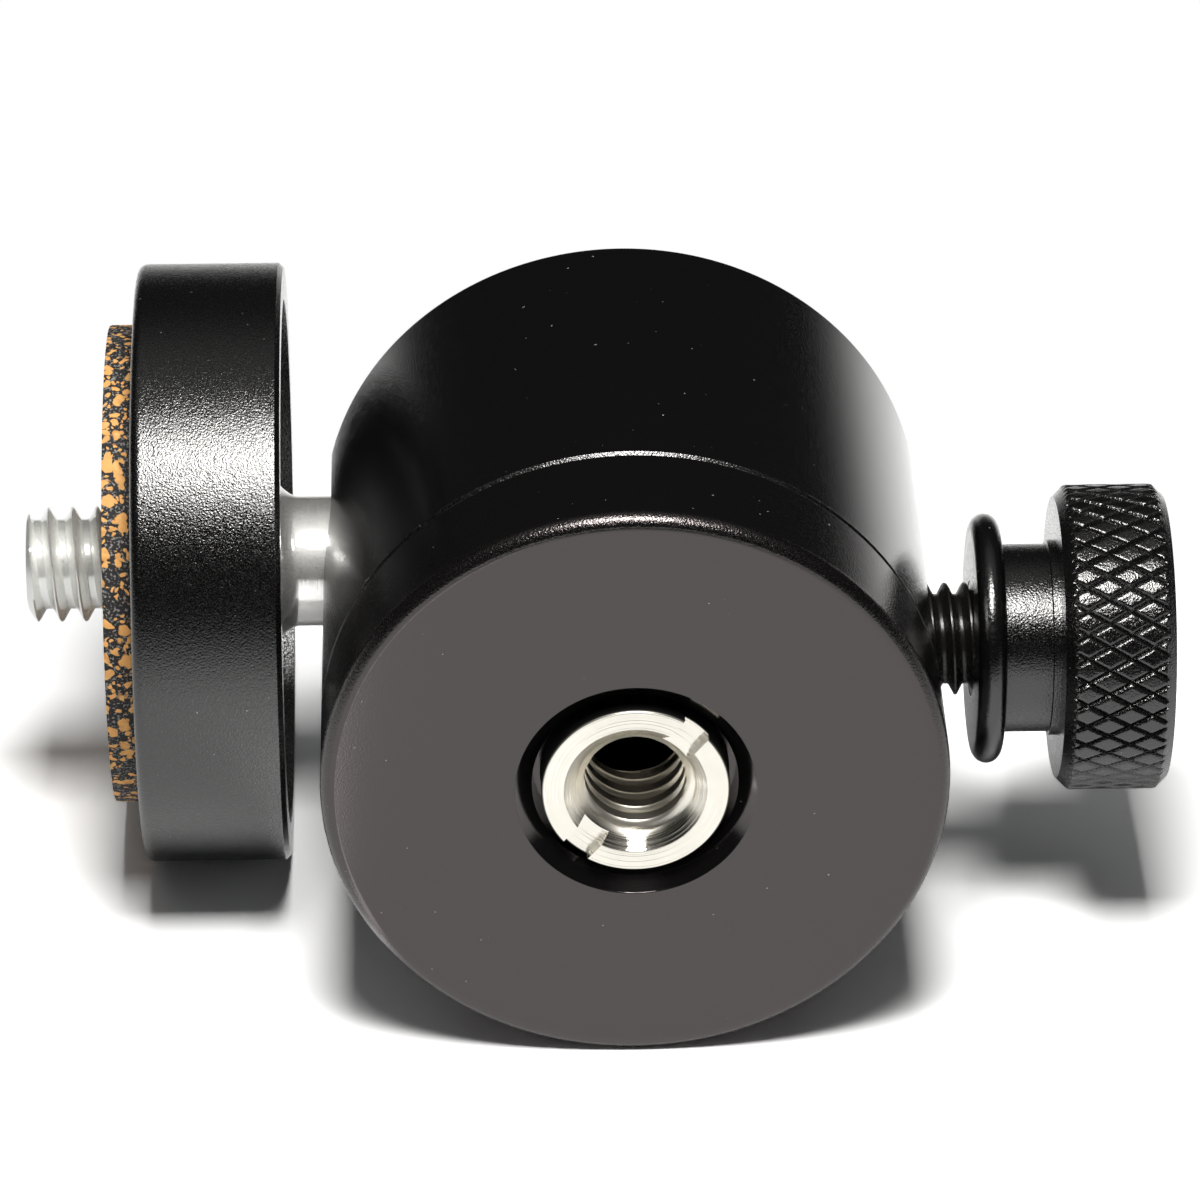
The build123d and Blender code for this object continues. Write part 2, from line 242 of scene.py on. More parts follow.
def anodised_look(roughness, machined=None, tint=(1, 1, 1)):
    """Blasted and black-anodised aluminium: fine grain, matt specks and a little dust.

    machined gives a wire that is 1 where the surface was cut after blasting, and so is smooth.
    tint is the colour that the dyed skin gives to what it reflects. The IOR is above the real
    oxide's, so that the highlights stay bright under a lamp of plain strength.
    """

    def look(place):
        height = place.noise(GRAIN_SCALE, 2.0)
        matt = place.noise(MATT_SCALE, 0.0).step(0.48, 0.6)
        if machined:
            blasted = 1.0 - machined(place) * 0.93
            height, matt = height * blasted, matt * blasted
        dust = place.noise(DUST_SCALE, 0.0).step(0.878, 0.893)
        handled = place.noise(140, 2.0)
        return {
            "Base Color": dust.blend(DYED_BLACK, DUST_GREY),
            "Roughness": matt * 0.21 + handled * 0.04 + roughness,
            "IOR": 1.88,
            "Specular Tint": (*tint, 1),
            "Normal": height.bump(GRAIN_DEPTH),
        }

    return look


BLASTED = finish("blasted_black_anodising", anodised_look(0.07))

BODY_RADIUS = 15.75
SEAM_HEIGHT = 6.3
SPIGOT_RADIUS = 12.4
SPIGOT_TOP = 9.8
MOUTH_RADIUS = 6.07
COUNTERBORE_RADIUS = 5.17
COUNTERBORE_DEPTH = 2.0
BASE_THREAD_RADIUS = 4.75
BASE_THREAD_END = 8.3
base_plate = turned(
    "base_disc",
    [
        (SPIGOT_TOP, 0),
        (SPIGOT_TOP, SPIGOT_RADIUS),
        (SEAM_HEIGHT, SPIGOT_RADIUS),
        (SEAM_HEIGHT, BODY_RADIUS, 0.1),
        (0, BODY_RADIUS, 0.75),
        (0, MOUTH_RADIUS, 0.03),
        (0.82, COUNTERBORE_RADIUS, 0.03),
        (COUNTERBORE_DEPTH, COUNTERBORE_RADIUS),
        (COUNTERBORE_DEPTH, BASE_THREAD_RADIUS),
        (BASE_THREAD_END, BASE_THREAD_RADIUS),
        (BASE_THREAD_END, 0),
    ],
    UPRIGHT,
)


def base_machined(place):
    """1 on the counterbore and its chamfer, less on the face and side, 0 on the rounded edge."""
    out = place.off_axis((0, 0, 0), (1, 1, 0))
    height = place.part(2)
    face = 1.0 - height.step(0.00002, 0.00006)
    mouth = 1.0 - out.step(0.00602, 0.00609)
    side = height.step(0.0006, 0.001)
    return mouth.larger((face * 0.9).larger(side * 0.6))


BASE_TINT = (1, 0.9, 0.9)
BASE_BLASTED = finish("base_black_anodising", anodised_look(0.09, base_machined, BASE_TINT))
fit(base_plate, "base", BASE_BLASTED, "base_plate")

# ---- tripod bushing ----
# A nickel-plated steel bushing that reduces the base's 3/8" thread to 1/4". It is turned,
# tapped through and screwed in with a blade in the slot across its face.

INCH_PITCH = 1.27
THREAD_ROWS = 20


def thread_radius(phase, crest, root, crest_flat, flank):
    """The radius of a 60 degree thread at a phase of its pitch, with its corners rounded."""
    radius = np.zeros_like(phase)
    shifts = np.linspace(-0.035, 0.035, 9)
    for shift in shifts:
        off_crest = np.abs((phase + shift + 0.5) % 1 - 0.5)
        drop = np.clip((off_crest - crest_flat / 2) / flank, 0, 1)
        radius += (crest + (root - crest) * drop) / len(shifts)
    return radius


def threaded(start, end, pitch, steps, form, trim):
    """Rings of a right-hand thread from start to end, and the ring that each runs on into.

    form gives the radius at a phase, and trim cuts it back at a distance along the axis.
    """
    turns = math.ceil((end - start) / pitch) + 2
    count = turns * THREAD_ROWS
    phase = (np.arange(count)[:, None] / THREAD_ROWS) + (np.arange(steps) / steps)[None, :]
    along = np.clip(start + (phase - 1) * pitch, start, end)
    radius = form((along - start) / pitch - (np.arange(steps) / steps)[None, :])
    radius = trim(along, radius)
    after = np.minimum(np.arange(count) + THREAD_ROWS, count - 1)
    return along, radius, after


def capped(name, before, thread, behind, place):
    """A threaded piece: plain profile points before and behind the rings of its thread."""
    along, radius, after = thread
    steps = radius.shape[1]
    plain = [np.repeat(np.array(p, float)[:, :, None], steps, axis=2) for p in (before, behind)]
    alongs = np.vstack([plain[0][:, 0], along, plain[1][:, 0]])
    radii = np.vstack([plain[0][:, 1], radius, plain[1][:, 1]])
    lead = len(before)
    follow = np.concatenate(
        [np.arange(lead), after + lead, np.arange(len(behind)) + lead + len(after)]
    )
    return skin(name, alongs, radii, place, follow, sharp=40)


def prism(name, outline, place, start, end):
    """A straight block with the given outline across the axis, to cut with."""
    origin, forward, right, up = place
    ends = [
        origin + MM * (forward * d + right * x + up * y) for d in (start, end) for x, y in outline
    ]
    n = len(outline)
    faces = [tuple(range(n)), tuple(range(2 * n - 1, n - 1, -1))]
    faces += [(i, i + n, (i + 1) % n + n, (i + 1) % n) for i in range(n)]
    mesh = bpy.data.meshes.new(name)
    mesh.from_pydata(ends, [], faces)
    return tidied(name, mesh, 30)


def cut(piece, tool):
    """Cut the tool's shape out of the piece, and take the tool away."""
    hollow = piece.modifiers.new("cut", "BOOLEAN")
    hollow.operation = "DIFFERENCE"
    hollow.solver = "EXACT"
    hollow.object = tool
    bpy.context.view_layer.update()
    shaped = piece.evaluated_get(bpy.context.evaluated_depsgraph_get())
    mesh = bpy.data.meshes.new_from_object(shaped)
    piece.modifiers.clear()
    piece.data = mesh
    bpy.data.objects.remove(tool)
    mesh.shade_smooth()
    mesh.set_sharp_from_angle(angle=math.radians(CREASE))


RING_SCALE = 11000
# Near-black painted on a bushing's outside: painted shade for the gap round it.
PAINTED_SHADE_BLACK = (0.02, 0.02, 0.02, 1)


def bright_turned_look(tone, roughness, centre, along, depth):
    """Bright turned metal with fine rings about an axis through centre.

    along is 1 in the axis's direction and 0 across it. The rings stop inside a tapped hole, and
    beyond the outer radius the metal is painted near-black and made rougher: painted shade for
    the narrow gap round a bushing's outside, where shade falls.
    """

    def look(place):
        across = tuple(1 - n for n in along)
        out = place.off_axis(centre, across)
        down = place.off_axis(centre, along)
        ring_place = {"W": out - down, "Scale": RING_SCALE}
        rings = out.node("TexNoise", {"noise_dimensions": "1D"}, ring_place)
        bored = 1.0 - out.step(0.0028, 0.0032)
        turning = rings * (1.0 - bored)
        stain = place.noise(900, 3.0)
        light = tuple(min(1.0, c * 1.05) for c in tone)
        # Painted shade: beyond the outer radius the metal turns near-black, for the shaded gap
        # round the bushing.
        painted_shade = out.step(0.0046, 0.0047)
        clean = stain.step(0.3, 0.7).blend((*tone, 1), (*light, 1))
        return {
            "Base Color": painted_shade.blend(clean, PAINTED_SHADE_BLACK),
            "Metallic": 1.0,
            "Roughness": stain * 0.1 + painted_shade * 0.5 + bored * 0.25 + roughness,
            "Normal": turning.bump(depth),
        }

    return look


BUSHING_STEPS = 192
BUSHING_FACE = 0.05
COUNTERSINK_RADIUS = 3.6
BUSHING_END = 6.35
BUSHING_RADIUS = 4.72
MINOR_RADIUS, TAP_RADIUS = 2.53, 3.05


def bushing_trim(along, radius):
    """The inner thread opened up by the countersink, and by the bevel at the far end."""
    mouth = COUNTERSINK_RADIUS - (along - BUSHING_FACE)
    bevel = MINOR_RADIUS + 0.29 - (BUSHING_END - along)
    return np.maximum(radius, np.maximum(mouth, bevel))


bushing_thread = threaded(
    BUSHING_FACE + 0.02,
    BUSHING_END - 0.01,
    INCH_PITCH,
    BUSHING_STEPS,
    lambda phase: thread_radius(phase, MINOR_RADIUS, TAP_RADIUS, 0.58, 0.17),
    bushing_trim,
)
reducer = capped(
    "tripod_bushing",
    [(BUSHING_FACE, COUNTERSINK_RADIUS)],
    bushing_thread,
    [
        (BUSHING_END, TAP_RADIUS + 0.1),
        (BUSHING_END, BUSHING_RADIUS - 0.3),
        (BUSHING_END - 0.3, BUSHING_RADIUS),
        (BUSHING_FACE + 0.1, BUSHING_RADIUS),
        (BUSHING_FACE, BUSHING_RADIUS - 0.1),
        (BUSHING_FACE, COUNTERSINK_RADIUS),
    ],
    UPRIGHT,
)
SLOT_TURN = math.radians(-49)
SLOT_FLOOR = 0.62
BLADE_REACH = 6
BLADE_HALF = 0.8
blade_along = Vector((math.cos(SLOT_TURN), math.sin(SLOT_TURN)))
blade_across = Vector((-math.sin(SLOT_TURN), math.cos(SLOT_TURN)))
blade_corners = ((-1, -1), (1, -1), (1, 1), (-1, 1))
slot_outline = [
    blade_along * BLADE_REACH * x + blade_across * BLADE_HALF * y for x, y in blade_corners
]
cut(reducer, prism("slot", slot_outline, UPRIGHT, -1, SLOT_FLOOR))
NICKEL_TONE = (0.95, 0.91, 0.82)
NICKEL = finish(
    "turned_nickel",
    bright_turned_look(NICKEL_TONE, 0.07, (0, 0, 0), (0, 0, 1), 0.026),
)
fit(reducer, "base", NICKEL, "reducer_bushing")

# ---- barrel ----
# The housing, turned and bored from aluminium bar. A lip at its mouth keeps the seat ring in,
# a round-bottomed slot lets the stem drop, and a tapped side hole takes the clamping stud.

BALL_HEIGHT = 23.1
KNOB_HEIGHT = 14.35
SEAM_CHAMFER = 0.35
BARREL_END = 28.4
LIP_RADIUS = 9.99
LIP_BACK = 27.0
BARREL_BORE = 11.85
BARREL_THREAD = 12.43
STEM_PLACE = (
    Vector((0, 0, BALL_HEIGHT * MM)),
    Vector((-1, 0, 0)),
    Vector((0, 0, 1)),
    Vector((0, 1, 0)),
)
KNOB_PLACE = (
    Vector((0, 0, KNOB_HEIGHT * MM)),
    Vector((1, 0, 0)),
    Vector((0, 1, 0)),
    Vector((0, 0, 1)),
)
barrel = turned(
    "barrel",
    [
        (SEAM_HEIGHT, BARREL_THREAD),
        (SEAM_HEIGHT, BODY_RADIUS - SEAM_CHAMFER, 0.04),
        (SEAM_HEIGHT + SEAM_CHAMFER, BODY_RADIUS, 0.05),
        (BARREL_END, BODY_RADIUS, 0.4),
        (BARREL_END, LIP_RADIUS + 0.6, 0.05),
        (BARREL_END - 0.6, LIP_RADIUS, 0.05),
        (LIP_BACK, LIP_RADIUS),
        (LIP_BACK, BARREL_BORE),
        (SPIGOT_TOP + 0.03, BARREL_BORE),
        (SPIGOT_TOP + 0.03, BARREL_THREAD),
    ],
    UPRIGHT,
)


def ring_outline(radius, count, start=0.0, sweep=math.tau):
    """Points along an arc about an axis, to cut a round shape with."""
    turns = [start + sweep * i / count for i in range(count + (sweep < math.tau))]
    return [(radius * math.cos(turn), radius * math.sin(turn)) for turn in turns]


SLOT_HALF = 3.64
SLOT_RISE = 8.0
STUD_HOLE_RADIUS = 3.0
SET_SCREW_RADIUS = 1.23
WALL_INSIDE, PAST_WALL = 9, 18
slot_round = ring_outline(SLOT_HALF, 64, math.pi / 2, math.pi)
stem_slot = [(SLOT_RISE, SLOT_HALF), *slot_round, (SLOT_RISE, -SLOT_HALF)]
cut(barrel, prism("slot", stem_slot, STEM_PLACE, 6, PAST_WALL))
stud_hole = ring_outline(STUD_HOLE_RADIUS, 96)
cut(barrel, prism("hole", stud_hole, KNOB_PLACE, WALL_INSIDE, PAST_WALL))
SET_SCREW_PLACE = (
    Vector((0, 0, 8.05 * MM)),
    Vector((0, 1, 0)),
    Vector((0, 0, 1)),
    Vector((1, 0, 0)),
)
set_screw_hole = ring_outline(SET_SCREW_RADIUS, 64)
cut(barrel, prism("hole", set_screw_hole, SET_SCREW_PLACE, WALL_INSIDE, PAST_WALL))


def barrel_machined(place):
    """Part way on the barrel's side, and 0 on its chamfer, its mouth and its slot."""
    out = place.off_axis((0, 0, 0), (1, 1, 0))
    return out.step(0.01565, 0.01574) * place.part(2).step(0.0066, 0.0068) * 0.6


BARREL_BLASTED = finish("barrel_black_anodising", anodised_look(0.08, barrel_machined))
fit(barrel, "base", BARREL_BLASTED, "housing")

# ---- locking screw ----
# An M3 socket screw in black oxide steel, low in the barrel's wall and square to the knob. It
# bears on the base's thread, which keeps the base from unscrewing.

OXIDE = finish(
    "oiled_black_oxide",
    lambda place: {
        "Base Color": (0.02, 0.019, 0.018, 1),
        "Roughness": place.noise(1500, 2.0) * 0.15 + 0.2,
        "Metallic": 0.6,
        "IOR": 1.8,
        "Normal": place.noise(7000, 1.0).bump(0.006),
    },
)
coat(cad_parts["base_set_screw"], OXIDE)

# ---- spring, shim, cup, seat ring and other inner pieces ----
# What carries the ball inside the barrel: a steel shim, a disc spring, an acetal cup under
# the ball and an acetal ring over it, cut through where the stem passes. With them go the
# brass nose and snap ring on the stud's end, and the film under the pad.

SPRING = finish(
    "tempered_spring_steel",
    lambda place: {
        "Base Color": (0.42, 0.4, 0.38, 1),
        "Metallic": 1.0,
        "Roughness": place.noise(1200, 3.0) * 0.2 + 0.25,
        "Normal": place.noise(4000, 2.0).bump(0.004),
    },
)
ACETAL = finish(
    "turned_acetal",
    lambda place: {
        "Base Color": (0.78, 0.76, 0.7, 1),
        "Roughness": place.noise(700, 2.0) * 0.15 + 0.3,
        "Normal": place.noise(5000, 1.0).bump(0.004),
    },
)
BRASS_TONE = (0.78, 0.57, 0.28)
BRASS = finish(
    "turned_brass",
    bright_turned_look(BRASS_TONE, 0.2, (0, 0, KNOB_HEIGHT * MM), (1, 0, 0), 0.006),
)
FILM = finish(
    "adhesive_film",
    lambda place: {
        "Base Color": (0.6, 0.55, 0.42, 1),
        "Roughness": place.noise(900, 2.0) * 0.2 + 0.4,
    },
)
for node, material in (
    ("shim_washer", SPRING),
    ("disc_spring", SPRING),
    ("pad_snap_ring", SPRING),
    ("lower_cup", ACETAL),
    ("seat_ring", ACETAL),
    ("pressure_pad", BRASS),
    ("pad_adhesive", FILM),
):
    coat(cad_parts[node], material)

# ---- ball ----
# A steel ball, ground, polished and chromed. A spot face and a blind hole, turned before the
# grinding, take the stem, which is pressed in.

BALL_RADIUS = 10.5
BALL_FLAT = 9.88
STEM_HOLE_RADIUS = 2.5
STEM_HOLE_FLOOR = 2.94
BRIGHT_STEPS = 256
ball_end = math.acos(BALL_FLAT / BALL_RADIUS)
ball_arc = [
    (BALL_RADIUS * math.cos(a), BALL_RADIUS * math.sin(a))
    for a in np.linspace(math.pi, ball_end, 120)
]
stem_hole = [
    (BALL_FLAT, STEM_HOLE_RADIUS),
    (STEM_HOLE_FLOOR, STEM_HOLE_RADIUS),
    (STEM_HOLE_FLOOR, 0),
]
ball = turned("ball", ball_arc + stem_hole, STEM_PLACE, BRIGHT_STEPS)
CHROME = finish(
    "polished_chrome",
    lambda place: {
        "Base Color": (0.82, 0.82, 0.81, 1),
        "Metallic": 1.0,
        "Roughness": place.noise(300, 3.0) * 0.05 + 0.04,
        "Normal": place.noise(1500, 2.0).bump(0.0008),
    },
)
fit(ball, "swivel_ball", CHROME, "ball")

# ---- stem ----
# Turned from steel and chromed. Its shank is pressed into the ball, it flares under the
# platform, and its far end is tapped for the camera screw.

SHANK_START = 2.992
SHANK_RADIUS = 2.45
SHOULDER = 9.892
STEM_RADIUS = 3.42
FLARE_START = 17.018
FLARE_RISE = 1.78
FLARE_STEPS = 30
FLARE_POWER = 1.95
PLATFORM_SEAT = 21.168
STEM_END = 24.968
STEM_END_RADIUS = 4.3
SCREW_HOLE_FLOOR = 18.968
SCREW_HOLE_RADIUS = 2.63
flare = []
for i in range(FLARE_STEPS + 1):
    share = i / FLARE_STEPS
    along = FLARE_START + FLARE_RISE * share
    flare.append((along, STEM_RADIUS + FLARE_RISE * share**FLARE_POWER))
stem = turned(
    "stem",
    [
        (SHANK_START, 0),
        (SHANK_START, SHANK_RADIUS),
        (SHOULDER, SHANK_RADIUS),
        (SHOULDER, STEM_RADIUS, 0.1),
        *flare,
        (PLATFORM_SEAT, STEM_RADIUS + FLARE_RISE),
        (PLATFORM_SEAT, STEM_END_RADIUS),
        (STEM_END, STEM_END_RADIUS),
        (STEM_END, SCREW_HOLE_RADIUS),
        (SCREW_HOLE_FLOOR, SCREW_HOLE_RADIUS),
        (SCREW_HOLE_FLOOR, 0),
    ],
    STEM_PLACE,
    BRIGHT_STEPS,
)


def satin_look(tone, polished, matt, share, metal):
    """Plated steel whose fine scratches part it into polished and matt specks.

    share is the noise level where polished specks become matt ones. metal below 1 isn't how
    bare plating behaves: it adds some white of its own, so that the piece looks paler than what
    it mirrors.
    """

    def look(place):
        speck = place.noise(70000, 0.0).step(share - 0.03, share + 0.03)
        rings = place.node("Mapping", {}, {"Vector": place, "Scale": (1, 0.02, 0.02)})
        stain = place.noise(700, 3.0)
        dull = tuple(c * 0.95 for c in tone)
        return {
            "Base Color": stain.step(0.3, 0.7).blend((*tone, 1), (*dull, 1)),
            "Metallic": metal,
            "Roughness": speck * (matt - polished) + stain * 0.05 + polished,
            "Normal": rings.noise(6000, 1.0).bump(0.002),
        }

    return look


SATIN_TONE = (0.96, 0.95, 0.93)
SATIN_STEEL = finish("satin_chromed_steel", satin_look(SATIN_TONE, 0.05, 0.58, 0.52, 0.9))
fit(stem, "camera_mount", SATIN_STEEL, "stem")

# ---- platform ----
# The disc that carries the camera. It is turned from aluminium, hollowed on its underside,
# blasted and black anodised, and it is pressed onto the stem's end.

PLATFORM_FRONT = 17.668
PLATFORM_BACK = 25.268
PLATFORM_RADIUS = 15.72
PLATFORM_BORE = 4.33
HOLLOW_RADIUS = 13.8
platform = turned(
    "platform",
    [
        (PLATFORM_FRONT, HOLLOW_RADIUS, 0.05),
        (PLATFORM_FRONT, PLATFORM_RADIUS - 0.25, 0.04),
        (PLATFORM_FRONT + 0.25, PLATFORM_RADIUS, 0.05),
        (PLATFORM_BACK, PLATFORM_RADIUS, 0.5),
        (PLATFORM_BACK, PLATFORM_BORE),
        (PLATFORM_SEAT, PLATFORM_BORE),
        (PLATFORM_SEAT, HOLLOW_RADIUS, 0.6),
    ],
    STEM_PLACE,
)
fit(platform, "camera_mount", BLASTED, "platform")

# ---- pad ----
# A disc of black rubber moulded with cork granules, cut with a sharp die and stuck on with
# film. Its cut edge shows the granules in section.

PAD_BACK, PAD_FACE = 25.368, 26.818
PAD_RADIUS, PAD_HOLE = 12.55, 3.45
PAD_STEPS = 720
EDGE_STEPS = 14
TEAR_DEPTH, CRUMB_DEPTH = 0.06, 0.03
TEAR_ALONG, TEAR_ROUND = 2.2, 27
edge_step = (PAD_FACE - PAD_BACK) / EDGE_STEPS
edge_rows = [(PAD_BACK + edge_step * i, PAD_RADIUS) for i in range(1, EDGE_STEPS)]
side_rows = [(PAD_BACK, PAD_RADIUS - 0.05), *edge_rows, (PAD_FACE, PAD_RADIUS - 0.05)]
face_rows = [(PAD_FACE, r) for r in np.linspace(12.4, 3.5, 60)]
back_rows = [(26.7, PAD_HOLE), (25.45, PAD_HOLE), (PAD_BACK, 3.5), (PAD_BACK, 8.0)]
pad_profile = np.array(side_rows + face_rows + back_rows + side_rows[:1])
pad_along, pad_radius = (np.repeat(pad_profile[:, [i]], PAD_STEPS, axis=1) for i in (0, 1))
for i in range(1, len(side_rows) - 1):
    for j in range(PAD_STEPS):
        a = math.tau * j / PAD_STEPS
        way_round = (TEAR_ROUND * math.cos(a), TEAR_ROUND * math.sin(a))
        spot = Vector((pad_along[i, j] * TEAR_ALONG, *way_round))
        torn = TEAR_DEPTH * max(0, noise.noise(spot))
        pad_radius[i, j] -= torn + CRUMB_DEPTH * abs(noise.noise(spot * 3))
cork_pad = skin("cork_rubber_pad", pad_along, pad_radius, STEM_PLACE, sharp=50)


GRANULES = ((1250, 0.55, 0.42), (2100, 0.36, 0.4), (3600, 0.32, 0.38))
BROWN_CORK, TAN_CORK = (0.74, 0.33, 0.085, 1), (1.0, 0.58, 0.2, 1)
WARM_CORK = (1.0, 0.5, 0.155, 1)
RUBBER_BLACK = (0.02, 0.019, 0.02, 1)
GREY_CRUMB, RED_CRUMB = (0.3, 0.29, 0.28, 1), (0.28, 0.14, 0.1, 1)


def cork_look(place):
    """Cork granules of three sizes in black rubber that is full of fine grey crumbs.

    Each row of GRANULES gives the cells to the metre, the share of them that holds a granule and
    how far from its middle a cell is filled.
    """
    drift = place.noise(900, 3.0, 1)
    push = {0: drift, 1: (0.0011, 0.0011, 0.0011), 2: place}
    bent = place.node("VectorMath", {"operation": "MULTIPLY_ADD"}, push)
    mask, tint = None, None
    for scale, share, size in GRANULES:
        cells = {"Vector": bent, "Scale": scale, "Randomness": 1.0}
        off = place.node("TexVoronoi", {}, cells, 0)
        shade = place.node("TexVoronoi", {}, cells, 1)
        pick = place.node("SeparateColor", {}, {0: shade}, 0)
        kept = 1.0 - pick.step(share - 0.01, share + 0.01)
        grain = (1.0 - off.step(size - 0.04, size + 0.02)) * kept
        mask = grain if mask is None else mask.larger(grain)
        tint = pick if tint is None else tint
    fibre = place.noise(3300, 4.0)
    crumb = place.noise(7500, 2.0)
    tan = fibre.step(0.3, 0.7).blend(BROWN_CORK, TAN_CORK)
    warm = tint * 1.6
    warm = warm.maths("MINIMUM", warm, 1.0)
    cork = warm.blend(tan, WARM_CORK)
    reddish = place.noise(2100, 1.0).step(0.66, 0.7)
    crumbs = reddish.blend(GREY_CRUMB, RED_CRUMB)
    rubber = crumb.step(0.54, 0.64).blend(RUBBER_BLACK, crumbs)
    return {
        "Base Color": mask.blend(rubber, cork),
        "Roughness": 0.75 - mask * 0.05,
        "Normal": (mask * 0.5 + fibre * 0.6 + crumb * 0.4).bump(0.05),
    }


CORK_RUBBER = finish("cork_and_rubber", cork_look)
fit(cork_pad, "camera_mount", CORK_RUBBER, "cork_pad")

# ---- camera screw ----
# A 1/4"-20 steel screw with a rolled thread and a bright zinc plating. It is screwed through
# the pad into the stem's end and locked there.

SCREW_CORE = 2.6
SCREW_THREAD_START = 25.6
SCREW_END = 31.298
SCREW_CREST, SCREW_ROOT = 3.04, 2.36
THREAD_STEPS = 160


def screw_trim(along, radius):
    """The thread cut back by the chamfer at the screw's end."""
    return np.minimum(radius, 2.62 + (SCREW_END - along) * 0.9)


screw_thread = threaded(
    SCREW_THREAD_START,
    SCREW_END,
    INCH_PITCH,
    THREAD_STEPS,
    lambda phase: thread_radius(phase - 0.8, SCREW_CREST, SCREW_ROOT, 0.08, 0.3),
    screw_trim,
)
camera_screw = capped(
    "camera_screw",
    [
        (SCREW_HOLE_FLOOR, 0),
        (SCREW_HOLE_FLOOR, SCREW_CORE),
        (SCREW_THREAD_START - 0.3, SCREW_CORE),
        (SCREW_THREAD_START, SCREW_CORE - 0.2),
    ],
    screw_thread,
    [(SCREW_END, 2.3), (SCREW_END, 0)],
    STEM_PLACE,
)
ZINC_TONE = (0.96, 0.97, 0.95)
ZINC = finish("bright_zinc", satin_look(ZINC_TONE, 0.12, 0.6, 0.52, 0.75))
fit(camera_screw, "camera_mount", ZINC, "camera_screw")

# ---- clamping stud ----
# An M6 stud in black oxide steel, fixed in the knob. It runs through the barrel's wall, and
# the brass nose on its end presses the ball.

STUD_TIP, STUD_END = 12.0, 27.17
STUD_SHANK = 2.94
STUD_PITCH = 1.0
STUD_CREST, STUD_ROOT = 2.91, 2.33
NOSE_HOLE_FLOOR, NOSE_HOLE_RADIUS = 15.0, 1.25
KNOB_START = 17.72


def stud_trim(along, radius):
    """The thread cut back by the bevel at the stud's inner end."""
    return np.minimum(radius, 2.5 + (along - STUD_TIP))


stud_thread = threaded(
    STUD_TIP,
    KNOB_START,
    STUD_PITCH,
    THREAD_STEPS,
    lambda phase: thread_radius(phase, STUD_CREST, STUD_ROOT, 0.14, 0.3),
    stud_trim,
)
stud = capped(
    "clamping_stud",
    [
        (NOSE_HOLE_FLOOR, 0),
        (NOSE_HOLE_FLOOR, NOSE_HOLE_RADIUS),
        (STUD_TIP, NOSE_HOLE_RADIUS),
        (STUD_TIP, 2.3),
    ],
    stud_thread,
    [
        (KNOB_START + 0.03, STUD_SHANK),
        (STUD_END - 0.4, STUD_SHANK),
        (STUD_END, 2.55),
        (STUD_END, 0),
    ],
    KNOB_PLACE,
)
fit(stud, "clamp_knob", OXIDE, "knob_stud")

# ---- knob ----
# Turned from aluminium, with a full-round flange and a neck. Its head is rolled with a
# diamond knurl before the edges are bevelled, and all of it is black anodised.

KNURL_COUNT = 40
KNURL_PITCH = 2.2
KNURL_ROWS = 16
KNURL_STEPS = KNURL_COUNT * KNURL_ROWS
KNURL_WIDTH = 0.15
KNURL_DEPTH = 0.17
HEAD_START, HEAD_END, HEAD_RADIUS = 22.05, 27.67, 7.88
INNER_BEVEL, OUTER_BEVEL = 0.6, 0.55
FLANGE_CENTRE, FLANGE_ROUND = (18.46, 5.71), 0.74
NECK_RADIUS, NECK_END = 4.86, 21.65
DISH_RADIUS = 4.8
KNOB_BORE = 2.98
rim = []
for a in np.linspace(0, math.pi, 25):
    along = FLANGE_CENTRE[0] - FLANGE_ROUND * math.cos(a)
    rim.append((along, FLANGE_CENTRE[1] + FLANGE_ROUND * math.sin(a)))
near = rounded(
    [
        (KNOB_START, KNOB_BORE),
        *rim,
        (FLANGE_CENTRE[0] + FLANGE_ROUND, NECK_RADIUS),
        (NECK_END, NECK_RADIUS, 0.05),
        (NECK_END, 5.05, 0.04),
        (HEAD_START, 5.05),
    ]
)
rows = np.arange(round((HEAD_END - HEAD_START) / KNURL_PITCH * KNURL_ROWS) + 1)
band = HEAD_START + rows * KNURL_PITCH / KNURL_ROWS
band = band[band < HEAD_END - 0.02]


def head_edge(along):
    """The head's plain radius, with its two bevels."""
    inner = HEAD_RADIUS - INNER_BEVEL + (along - HEAD_START)
    outer = HEAD_RADIUS - OUTER_BEVEL + (HEAD_END - along)
    return np.minimum(HEAD_RADIUS, np.minimum(inner, outer))


knob_points = [*near, (HEAD_START, 7.0)]
first_band = len(knob_points)
knob_points += [(x, head_edge(x)) for x in band] + [(HEAD_END, HEAD_RADIUS - OUTER_BEVEL)]
last_band = len(knob_points)
knob_points += [
    (HEAD_END, 7.3),
    (HEAD_END, DISH_RADIUS),
    (STUD_END, DISH_RADIUS),
    (STUD_END, KNOB_BORE),
    (KNOB_START, KNOB_BORE),
]
knob_points = np.array(knob_points, float)
knob_along, knob_radius = (np.repeat(knob_points[:, [i]], KNURL_STEPS, axis=1) for i in (0, 1))
lean = np.zeros((len(knob_points) - 1, KNURL_STEPS), int)


def groove(lattice):
    """1 on a line of the knurl, falling to 0 at the edge of its groove."""
    return np.clip(1 - np.abs((lattice + 0.5) % 1 - 0.5) / KNURL_WIDTH, 0, 1)


knurl = slice(first_band, last_band)
turns = (np.arange(KNURL_STEPS) / KNURL_ROWS)[None, :]
runs = (knob_along[knurl] - HEAD_START) / KNURL_PITCH
rolled = HEAD_RADIUS - KNURL_DEPTH * np.maximum(groove(turns + runs), groove(turns - runs))
knob_radius[knurl] = np.minimum(knob_radius[knurl], rolled)
half = 0.5 / KNURL_ROWS
mid_runs, mid_turns = runs[:-1] + half, turns + half
one_way, other_way = groove(mid_turns + mid_runs), groove(mid_turns - mid_runs)
lean[first_band : last_band - 1] = np.where(one_way > other_way, -1, 1)
knob = skin("knob", knob_along, knob_radius, KNOB_PLACE, lean=lean, sharp=28)


def knob_machined(place):
    """Part way on the flange, and 0 on the neck and the head."""
    return (1.0 - place.part(0).step(0.0191, 0.0193)) * 0.25


